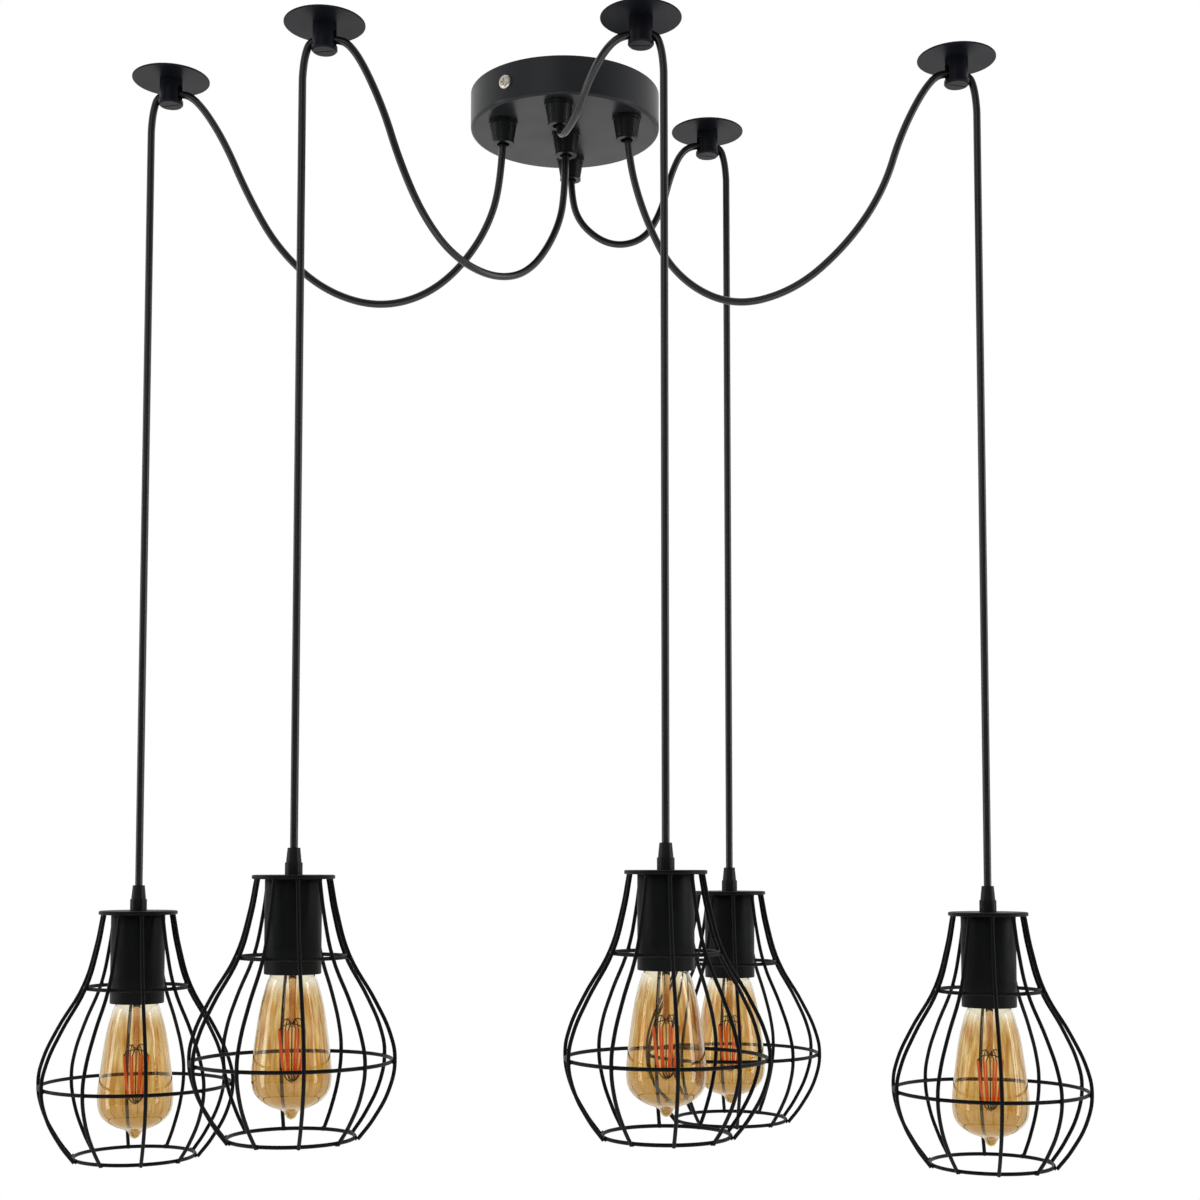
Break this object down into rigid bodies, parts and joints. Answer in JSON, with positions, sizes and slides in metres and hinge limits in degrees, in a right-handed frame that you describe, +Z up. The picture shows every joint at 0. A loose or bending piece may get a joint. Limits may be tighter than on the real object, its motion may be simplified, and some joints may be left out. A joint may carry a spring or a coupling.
{
  "type": "spider pendant light",
  "caption": "Ceiling cup with cords that swag through ceiling hooks and hang pear-shaped wire cage lamps with amber bulbs; each lamp swings and turns on its cord.",
  "frame": {"origin": "middle of the ceiling cup on the ceiling plane, at the centre of its bracket's two fixing holes", "axes": "+Z up into the ceiling, +X right and +Y away from the viewer of the picture"},
  "size_m": [0.9005, 0.4103, 0.956],
  "materials": {
    "black_paint": "satin black paint on steel",
    "zinc_steel": "zinc plated",
    "nickel": "nickel plated",
    "ivory_plastic": "moulded",
    "brass": "plain",
    "lead_insulation": "smooth insulation",
    "black_plastic": "moulded, fine ribs",
    "cord_sheath": "smooth round sheath",
    "bakelite": "moulded",
    "amber_glass": "clear amber tint",
    "filament": "orange coated strands on wire"
  },
  "bodies": {
    "ceiling": {"canopy_cup": "black_paint", "ceiling_bracket": "zinc_steel", "canopy_side_screws": "nickel", "terminal_block": "ivory_plastic", "terminal_screws": "brass", "lead_wires": "lead_insulation", "canopy_cord_grips": "black_plastic", "canopy_grip_nuts": "zinc_steel", "ceiling_hooks": "black_paint", "hook_clamp_plugs": "black_paint", "cord_swag_1": "cord_sheath", "cord_swag_2": "cord_sheath", "cord_swag_3": "cord_sheath", "cord_swag_4": "cord_sheath", "cord_swag_5": "cord_sheath"},
    "bend_1": {"cord_bend_1": "cord_sheath"},
    "drop_1": {"cord_drop_1": "cord_sheath"},
    "lamp_1": {"lamp_cord_grip_1": "black_plastic", "wire_cage_1": "black_paint", "holder_cover_1": "black_paint", "lamp_socket_1": "bakelite"},
    "bulb_1": {"bulb_glass_1": "amber_glass"},
    "bulb_core_1": {"bulb_cap_1": "brass", "bulb_filament_1": "filament"},
    "bend_2": {"cord_bend_2": "cord_sheath"},
    "drop_2": {"cord_drop_2": "cord_sheath"},
    "lamp_2": {"lamp_cord_grip_2": "black_plastic", "wire_cage_2": "black_paint", "holder_cover_2": "black_paint", "lamp_socket_2": "bakelite"},
    "bulb_2": {"bulb_glass_2": "amber_glass"},
    "bulb_core_2": {"bulb_cap_2": "brass", "bulb_filament_2": "filament"},
    "bend_3": {"cord_bend_3": "cord_sheath"},
    "drop_3": {"cord_drop_3": "cord_sheath"},
    "lamp_3": {"lamp_cord_grip_3": "black_plastic", "wire_cage_3": "black_paint", "holder_cover_3": "black_paint", "lamp_socket_3": "bakelite"},
    "bulb_3": {"bulb_glass_3": "amber_glass"},
    "bulb_core_3": {"bulb_cap_3": "brass", "bulb_filament_3": "filament"},
    "bend_4": {"cord_bend_4": "cord_sheath"},
    "drop_4": {"cord_drop_4": "cord_sheath"},
    "lamp_4": {"lamp_cord_grip_4": "black_plastic", "wire_cage_4": "black_paint", "holder_cover_4": "black_paint", "lamp_socket_4": "bakelite"},
    "bulb_4": {"bulb_glass_4": "amber_glass"},
    "bulb_core_4": {"bulb_cap_4": "brass", "bulb_filament_4": "filament"},
    "bend_5": {"cord_bend_5": "cord_sheath"},
    "drop_5": {"cord_drop_5": "cord_sheath"},
    "lamp_5": {"lamp_cord_grip_5": "black_plastic", "wire_cage_5": "black_paint", "holder_cover_5": "black_paint", "lamp_socket_5": "bakelite"},
    "bulb_5": {"bulb_glass_5": "amber_glass"},
    "bulb_core_5": {"bulb_cap_5": "brass", "bulb_filament_5": "filament"}
  },
  "joints": [
    {"name": "lamp_1_swing_across", "type": "hinge", "parent": "ceiling", "child": "bend_1", "pos_m": [-0.352, -0.038, -0.0145], "axis": [0.9659, -0.2588, 0], "range_deg": [-2.5, 7]},
    {"name": "lamp_1_swing_along", "type": "hinge", "parent": "bend_1", "child": "drop_1", "pos_m": [-0.37035, -0.03308, -0.04355], "axis": [-0.2588, -0.9659, 0], "range_deg": [-7, 1]},
    {"name": "lamp_1_turn", "type": "hinge", "parent": "drop_1", "child": "lamp_1", "pos_m": [-0.37035, -0.03308, -0.742], "axis": [0, 0, 1], "range_deg": [-90, 90]},
    {"name": "bulb_1_travel", "type": "slide", "parent": "lamp_1", "child": "bulb_1", "axis": [0, 0, -1], "range_m": [0, 0.01814]},
    {"name": "bulb_1_screw", "type": "hinge", "parent": "bulb_1", "child": "bulb_core_1", "pos_m": [-0.37035, -0.03308, -0.842], "axis": [0, 0, -1], "range_deg": [0, 1801]},
    {"name": "lamp_2_swing_across", "type": "hinge", "parent": "ceiling", "child": "bend_2", "pos_m": [-0.198, -0.146, -0.0145], "axis": [0.9848, -0.1736, 0], "range_deg": [-7, 2.5]},
    {"name": "lamp_2_swing_along", "type": "hinge", "parent": "bend_2", "child": "drop_2", "pos_m": [-0.21671, -0.1427, -0.04355], "axis": [-0.1736, -0.9848, 0], "range_deg": [-1, 7]},
    {"name": "lamp_2_turn", "type": "hinge", "parent": "drop_2", "child": "lamp_2", "pos_m": [-0.21671, -0.1427, -0.71], "axis": [0, 0, 1], "range_deg": [-90, 90]},
    {"name": "bulb_2_travel", "type": "slide", "parent": "lamp_2", "child": "bulb_2", "axis": [0, 0, -1], "range_m": [0, 0.01814]},
    {"name": "bulb_2_screw", "type": "hinge", "parent": "bulb_2", "child": "bulb_core_2", "pos_m": [-0.21671, -0.1427, -0.81], "axis": [0, 0, -1], "range_deg": [0, 1801]},
    {"name": "lamp_3_swing_across", "type": "hinge", "parent": "ceiling", "child": "bend_3", "pos_m": [0.066, -0.157, -0.0145], "axis": [1, 0, 0], "range_deg": [-7, 5]},
    {"name": "lamp_3_swing_along", "type": "hinge", "parent": "bend_3", "child": "drop_3", "pos_m": [0.085, -0.157, -0.04355], "axis": [0, -1, 0], "range_deg": [-7, 7]},
    {"name": "lamp_3_turn", "type": "hinge", "parent": "drop_3", "child": "lamp_3", "pos_m": [0.085, -0.157, -0.706], "axis": [0, 0, 1], "range_deg": [-90, 90]},
    {"name": "bulb_3_travel", "type": "slide", "parent": "lamp_3", "child": "bulb_3", "axis": [0, 0, -1], "range_m": [0, 0.01814]},
    {"name": "bulb_3_screw", "type": "hinge", "parent": "bulb_3", "child": "bulb_core_3", "pos_m": [0.085, -0.157, -0.806], "axis": [0, 0, -1], "range_deg": [0, 1801]},
    {"name": "lamp_4_swing_across", "type": "hinge", "parent": "ceiling", "child": "bend_4", "pos_m": [0.135, 0.078, -0.0145], "axis": [0.9659, 0.2588, 0], "range_deg": [-5, 7]},
    {"name": "lamp_4_swing_along", "type": "hinge", "parent": "bend_4", "child": "drop_4", "pos_m": [0.15335, 0.08292, -0.04355], "axis": [0.2588, -0.9659, 0], "range_deg": [-7, 7]},
    {"name": "lamp_4_turn", "type": "hinge", "parent": "drop_4", "child": "lamp_4", "pos_m": [0.15335, 0.08292, -0.727], "axis": [0, 0, 1], "range_deg": [-90, 90]},
    {"name": "bulb_4_travel", "type": "slide", "parent": "lamp_4", "child": "bulb_4", "axis": [0, 0, -1], "range_m": [0, 0.01814]},
    {"name": "bulb_4_screw", "type": "hinge", "parent": "bulb_4", "child": "bulb_core_4", "pos_m": [0.15335, 0.08292, -0.827], "axis": [0, 0, -1], "range_deg": [0, 1801]},
    {"name": "lamp_5_swing_across", "type": "hinge", "parent": "ceiling", "child": "bend_5", "pos_m": [0.343, -0.08, -0.0145], "axis": [0.9659, 0.2588, 0], "range_deg": [-7, 7]},
    {"name": "lamp_5_swing_along", "type": "hinge", "parent": "bend_5", "child": "drop_5", "pos_m": [0.36135, -0.07508, -0.04355], "axis": [0.2588, -0.9659, 0], "range_deg": [-7, 7]},
    {"name": "lamp_5_turn", "type": "hinge", "parent": "drop_5", "child": "lamp_5", "pos_m": [0.36135, -0.07508, -0.742], "axis": [0, 0, 1], "range_deg": [-90, 90]},
    {"name": "bulb_5_travel", "type": "slide", "parent": "lamp_5", "child": "bulb_5", "axis": [0, 0, -1], "range_m": [0, 0.01814]},
    {"name": "bulb_5_screw", "type": "hinge", "parent": "bulb_5", "child": "bulb_core_5", "pos_m": [0.36135, -0.07508, -0.842], "axis": [0, 0, -1], "range_deg": [0, 1801]}
  ],
  "couplings": [
    {"joint": "bulb_1_screw", "follows": "bulb_1_travel", "rad_per_m": 1731.6},
    {"joint": "bulb_2_screw", "follows": "bulb_2_travel", "rad_per_m": 1731.6},
    {"joint": "bulb_3_screw", "follows": "bulb_3_travel", "rad_per_m": 1731.6},
    {"joint": "bulb_4_screw", "follows": "bulb_4_travel", "rad_per_m": 1731.6},
    {"joint": "bulb_5_screw", "follows": "bulb_5_travel", "rad_per_m": 1731.6}
  ]
}
